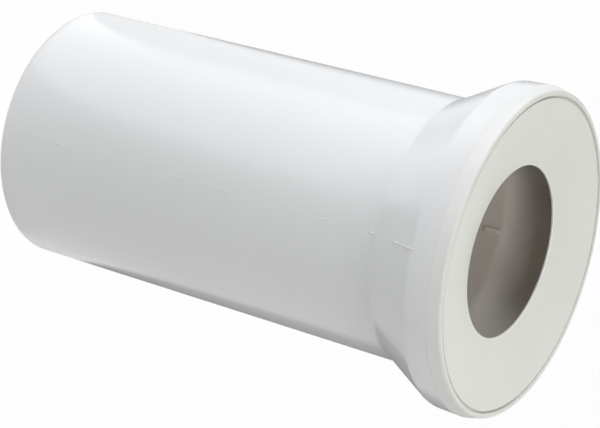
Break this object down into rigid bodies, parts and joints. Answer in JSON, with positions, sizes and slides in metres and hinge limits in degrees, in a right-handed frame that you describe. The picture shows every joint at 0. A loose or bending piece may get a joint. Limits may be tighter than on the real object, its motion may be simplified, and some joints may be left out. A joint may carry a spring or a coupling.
{
  "type": "straight toilet pan connector",
  "caption": "Straight white plastic pipe that flares into a short collar, capped by a dished rubber lip seal with a round hole.",
  "frame": {"origin": "centre of the open spigot end, the ring that the part stands on", "axes": "+Z along the pipe, from the spigot to the collar and its seal; the mould parts in the XZ plane and the stop rib is on the -X side"},
  "size_m": [0.1354, 0.1354, 0.225],
  "materials": {
    "white_plastic": "satin-gloss injection moulded",
    "cream_rubber": "matt moulded rubber"
  },
  "bodies": {
    "root": {"pipe_body": "white_plastic", "lip_seal": "cream_rubber"}
  },
  "joints": []
}
